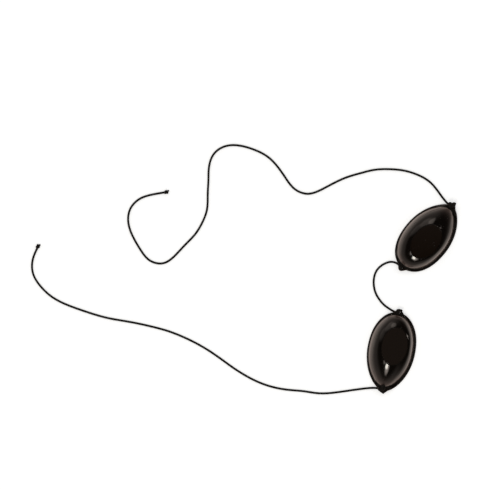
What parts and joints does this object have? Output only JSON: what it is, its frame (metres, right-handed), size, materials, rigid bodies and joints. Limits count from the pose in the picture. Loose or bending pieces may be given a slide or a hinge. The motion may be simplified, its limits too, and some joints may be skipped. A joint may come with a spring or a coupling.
{
  "type": "tanning goggles",
  "caption": "Dark opaque eye cups with oval lenses, joined over the nose by a short elastic cord and tied behind the head by long knotted elastic cords.",
  "frame": {"origin": "middle of the box round the eye cups and lenses, on the surface that the rims rest on", "axes": "+Z out of the lenses, +Y from the left cup to the right cup, the longest extent of the cups as they lie, +X towards the brows"},
  "size_m": [0.3167, 0.1866, 0.0109],
  "materials": {
    "cup": "polished, very dark brown, opaque",
    "lens": "polished, darker than the cup, lets almost no light through",
    "cord": "fine braid of polyester over rubber, matt dark grey"
  },
  "bodies": {
    "right_cup": {"right_eye_cup": "cup", "right_lens": "lens"},
    "nose_cord": {"nose_cord": "cord", "right_nose_knot": "cord"},
    "bridge_end": {"left_nose_knot": "cord"},
    "left_cup": {"left_eye_cup": "cup", "left_lens": "lens"},
    "right_head_cord": {"right_head_cord": "cord", "right_temple_knot": "cord", "right_end_knot": "cord"},
    "left_head_cord": {"left_head_cord": "cord", "left_temple_knot": "cord", "left_end_knot": "cord"}
  },
  "joints": [
    {"name": "right_nose_swivel", "type": "hinge", "parent": "right_cup", "child": "nose_cord", "pos_m": [-0.00788, 0.02279, 0], "axis": [0, 0, 1], "range_deg": [-6, 45]},
    {"name": "bridge_fold", "type": "hinge", "parent": "nose_cord", "child": "bridge_end", "pos_m": [-0.00884, 0.00631, 0.0008], "axis": [-0.9903, 0.1392, 0], "range_deg": [0, 40], "deforming": ["nose_cord"]},
    {"name": "left_nose_swivel", "type": "hinge", "parent": "bridge_end", "child": "left_cup", "pos_m": [-0.0098, -0.01017, 0], "axis": [0, 0, 1], "range_deg": [-6, 45]},
    {"name": "right_temple_swivel", "type": "hinge", "parent": "right_cup", "child": "right_head_cord", "pos_m": [0.03017, 0.06814, 0], "axis": [0, 0, 1], "range_deg": [-75, 8]},
    {"name": "left_temple_swivel", "type": "hinge", "parent": "left_cup", "child": "left_head_cord", "pos_m": [-0.0216, -0.06819, 0], "axis": [0, 0, 1], "range_deg": [-12, 75]}
  ]
}
